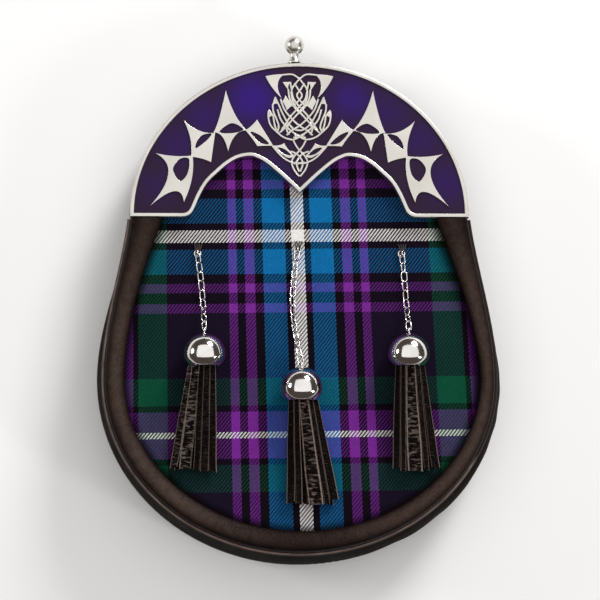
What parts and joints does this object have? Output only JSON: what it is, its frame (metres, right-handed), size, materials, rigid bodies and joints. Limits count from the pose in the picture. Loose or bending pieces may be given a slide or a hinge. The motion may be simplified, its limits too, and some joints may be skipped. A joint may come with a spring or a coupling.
{
  "type": "sporran pouch",
  "caption": "Dress sporran pouch with a silver thistle top plate, tartan face, leather roll and chained leather tassels.",
  "frame": {"origin": "middle of the box round the pouch, on the surface that its back lies on", "axes": "+Z out of the pouch's face, +Y from its bottom to its top plate"},
  "size_m": [0.1938, 0.2542, 0.0525],
  "materials": {
    "silver": "polished cast silver",
    "bright_metal": "mirror polish",
    "enamel": "violet enamel ground",
    "tartan": "twill wool tartan",
    "roll_leather": "grained, semi-gloss",
    "body_leather": "grained, satin",
    "tassel_leather": "grained, cut edges"
  },
  "bodies": {
    "root": {"cantle": "silver", "finial": "silver", "tartan_panel": "tartan", "front_wall": "body_leather", "front_roll": "roll_leather", "front_piping": "roll_leather", "gusset": "body_leather", "rear_welt": "roll_leather", "back_panel": "body_leather", "back_flap": "body_leather", "flap_stud": "silver", "belt_loop_left": "body_leather", "belt_loop_right": "body_leather", "chain_eye_left": "bright_metal", "chain_left": "bright_metal", "bell_left": "bright_metal", "tassel_left": "tassel_leather", "chain_eye_middle": "bright_metal", "chain_middle": "bright_metal", "bell_middle": "bright_metal", "tassel_middle": "tassel_leather", "chain_eye_right": "bright_metal", "chain_right": "bright_metal", "bell_right": "bright_metal", "tassel_right": "tassel_leather"}
  },
  "joints": []
}
